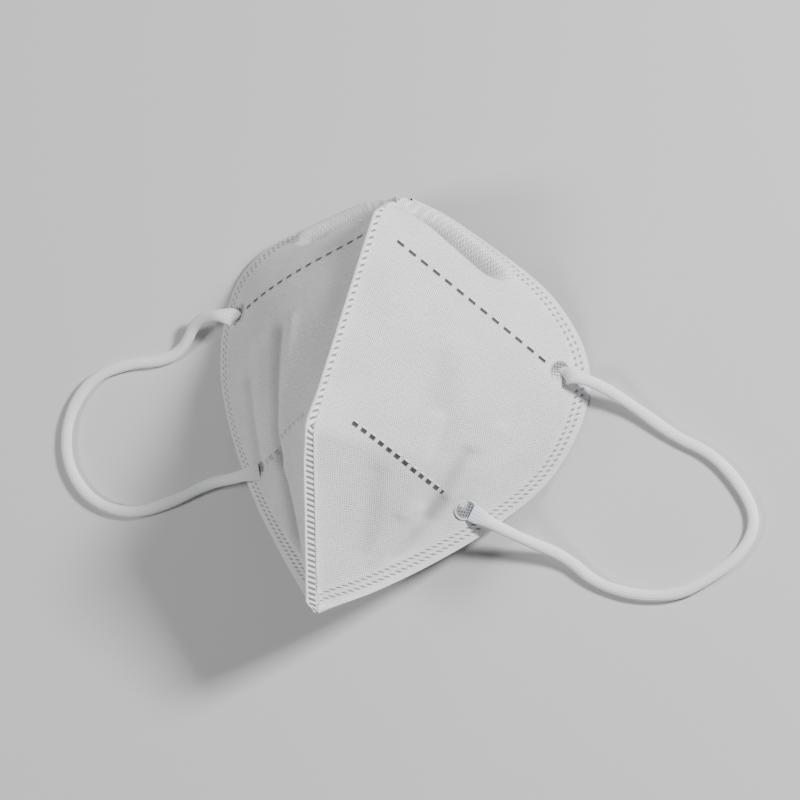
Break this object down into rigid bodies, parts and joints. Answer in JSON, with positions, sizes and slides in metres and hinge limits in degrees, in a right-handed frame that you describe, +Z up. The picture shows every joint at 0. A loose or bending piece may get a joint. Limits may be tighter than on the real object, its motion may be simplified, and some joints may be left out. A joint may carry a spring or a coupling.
{
  "type": "disposable dust mask",
  "caption": "Fold-flat disposable dust mask with a vertical seam, layered filter panels, a nose strip and elastic ear loops, shown opened out.",
  "frame": {"origin": "middle of the mask, without its ear loops, on the surface that its cheeks rest on", "axes": "+Z up out of the mask's front, +Y from the chin to the nose, +X to the right seen from the front"},
  "size_m": [0.2659, 0.1485, 0.0755],
  "materials": {
    "cover": "matte non-woven",
    "support": "matte fibre wadding",
    "filter": "matte melt-blown web",
    "lining": "matte non-woven",
    "weld": "pressed non-woven",
    "loop_weld": "fused, slightly glossy",
    "strip": "plastic-coated wire",
    "elastic": "knitted elastic"
  },
  "bodies": {
    "seam": {"lower_seam_weld": "weld", "upper_seam_weld": "weld", "nose_strip_bend": "strip"},
    "left_half": {"left_outer_cover": "cover", "left_support_layer": "support", "left_filter_layer_front": "filter", "left_filter_layer_back": "filter", "left_inner_lining": "lining", "left_edge_weld": "weld", "left_nose_strip_arm": "strip", "left_upper_loop_weld": "loop_weld", "left_lower_loop_weld": "loop_weld"},
    "left_loop": {"left_ear_loop": "elastic"},
    "right_half": {"right_outer_cover": "cover", "right_support_layer": "support", "right_filter_layer_front": "filter", "right_filter_layer_back": "filter", "right_inner_lining": "lining", "right_edge_weld": "weld", "right_nose_strip_arm": "strip", "right_upper_loop_weld": "loop_weld", "right_lower_loop_weld": "loop_weld"},
    "right_loop": {"right_ear_loop": "elastic"}
  },
  "joints": [
    {"name": "right_half_fold", "type": "hinge", "parent": "seam", "child": "right_half", "pos_m": [0, -0.0714, 0.037], "axis": [0, 0.9934, -0.115], "range_deg": [0, 50]},
    {"name": "left_half_fold", "type": "hinge", "parent": "seam", "child": "left_half", "pos_m": [0, -0.0714, 0.037], "axis": [0, -0.9934, 0.115], "range_deg": [0, 50]},
    {"name": "right_loop_swing", "type": "hinge", "parent": "right_half", "child": "right_loop", "pos_m": [0.0656, 0.0252, 0.0122], "axis": [-0.3531, -0.9325, 0.0754], "range_deg": [0, 110]},
    {"name": "left_loop_swing", "type": "hinge", "parent": "left_half", "child": "left_loop", "pos_m": [-0.0662, 0.0246, 0.0118], "axis": [-0.3706, 0.9248, -0.0866], "range_deg": [0, 110]}
  ]
}
